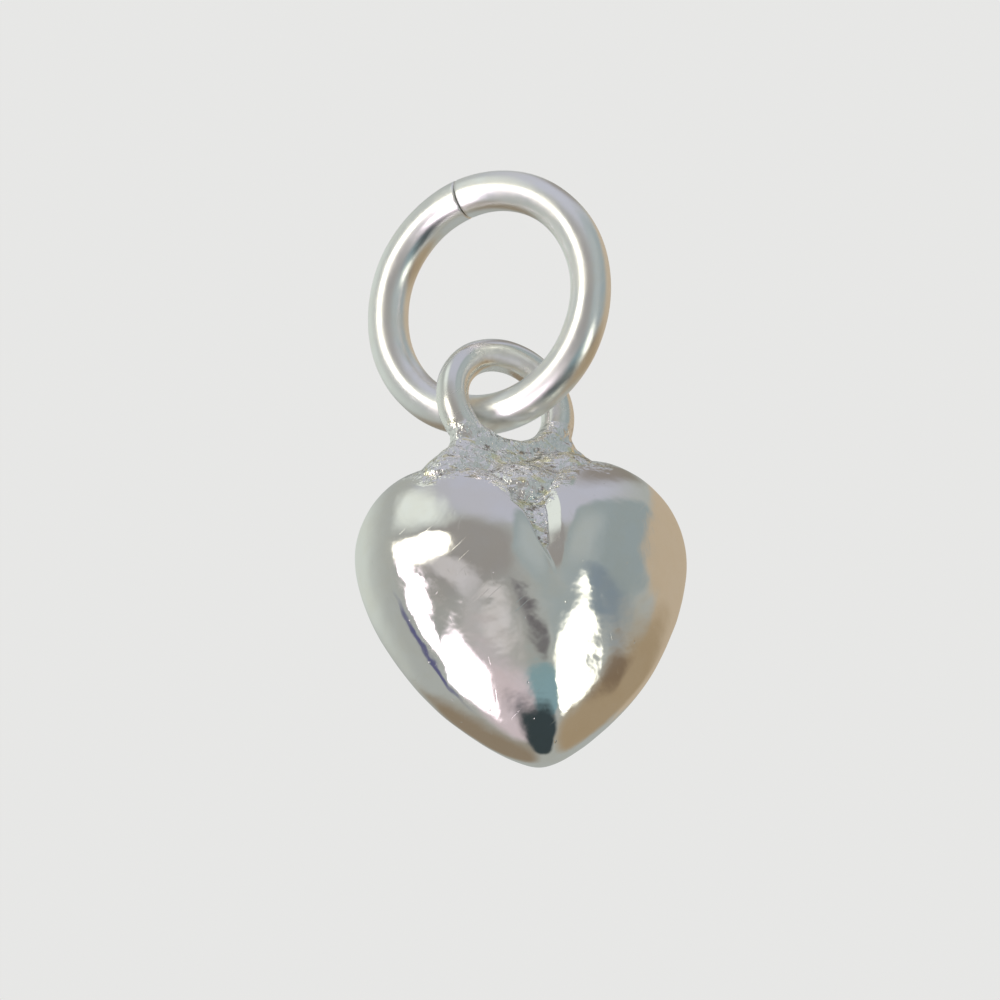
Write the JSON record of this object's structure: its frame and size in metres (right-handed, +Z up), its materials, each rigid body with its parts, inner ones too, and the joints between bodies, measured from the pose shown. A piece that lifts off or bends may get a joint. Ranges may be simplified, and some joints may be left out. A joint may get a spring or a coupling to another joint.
{
  "type": "puffy heart pendant",
  "caption": "Fat puffed heart pendant in cast silver, with a round wire loop soldered into its cleft and a larger jump ring through the loop.",
  "frame": {"origin": "centre of the jump ring's eye, where the pendant is hung", "axes": "+Z up as the pendant hangs, -Y out of the heart's front, +X to the right as the front is seen"},
  "size_m": [0.0074, 0.0048, 0.0137],
  "materials": {
    "cast_silver": "hand polished",
    "wire_silver": "polished",
    "silver_solder": "rough"
  },
  "bodies": {
    "hung_ring": {"jump_ring": "wire_silver"},
    "charm": {"puffy_heart": "cast_silver", "wire_loop": "wire_silver", "solder_joint": "silver_solder"}
  },
  "joints": [
    {"name": "heart_swing", "type": "hinge", "parent": "hung_ring", "child": "charm", "pos_m": [0.00013, 0, -0.00255], "axis": [0.7627, -0.6468, 0], "range_deg": [-110, 80]}
  ]
}
